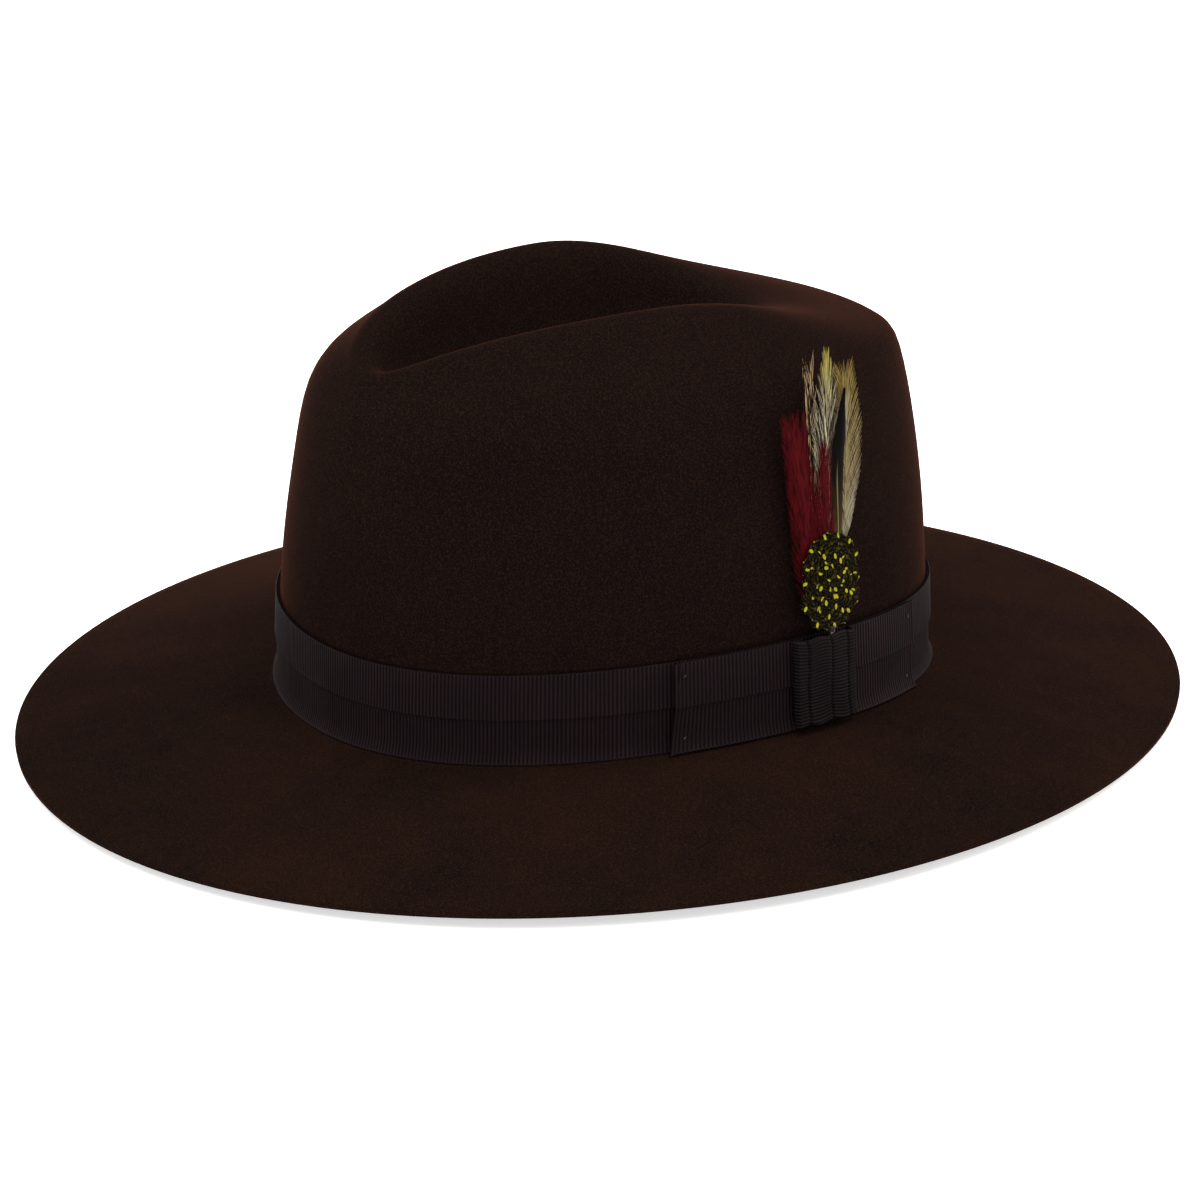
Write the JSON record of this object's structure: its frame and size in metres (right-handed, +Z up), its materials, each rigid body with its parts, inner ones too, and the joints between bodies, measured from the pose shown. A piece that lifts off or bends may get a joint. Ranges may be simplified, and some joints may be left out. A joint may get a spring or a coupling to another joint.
{
  "type": "fedora hat",
  "caption": "Wide-brimmed dark brown felt fedora with a dented crown, ribbon band, flat side bow and a feather mount that slides out of the bow.",
  "frame": {"origin": "middle of the brim's footprint, on the table that the brim stands on", "axes": "+Z up, +Y towards the back of the hat, +X towards the wearer's left, where the bow is"},
  "size_m": [0.324, 0.3795, 0.1415],
  "materials": {
    "felt": "brushed nap, very dark brown",
    "ribbon": "ribbed grosgrain, dark purple-brown",
    "thread": "waxed sewing thread",
    "sweat_leather": "smooth roan leather",
    "reed_plastic": "drawn cord",
    "tape": "woven tape",
    "satin_ribbon": "satin ribbon",
    "label_paper": "uncoated, blank",
    "satin": "satin lining",
    "wire": "drawn wire",
    "card": "thin board",
    "barred_feather": "barred brown and black",
    "cream_feather": "cream and gold",
    "grizzly_feather": "cream barred with black",
    "red_feather": "dyed red",
    "black_feather": "black, olive at the base",
    "guinea_feather": "dark with yellow-green spots"
  },
  "bodies": {
    "hat": {"felt_body": "felt", "hatband": "ribbon", "hatband_pleat": "ribbon", "bow_front_leaf": "ribbon", "bow_front_pleat": "ribbon", "bow_rear_leaf": "ribbon", "bow_rear_pleat": "ribbon", "bow_knot": "ribbon", "tack_stitches": "thread", "sweatband": "sweat_leather", "sweatband_reed": "reed_plastic", "reed_tape": "tape", "sweatband_stitches": "thread", "sweatband_bow": "satin_ribbon", "size_label": "label_paper", "lining_side": "satin", "lining_tip": "satin"},
    "feather_mount": {"mount_stem": "wire", "stem_binding": "thread", "mount_card": "card", "barred_fragment": "barred_feather", "cream_hackle": "cream_feather", "grizzly_hackle": "grizzly_feather", "red_hackle": "red_feather", "black_biot": "black_feather", "guinea_pad": "guinea_feather"}
  },
  "joints": [
    {"name": "feather_slide", "type": "slide", "parent": "hat", "child": "feather_mount", "axis": [0, 0, 1], "range_m": [0, 0.02]}
  ]
}
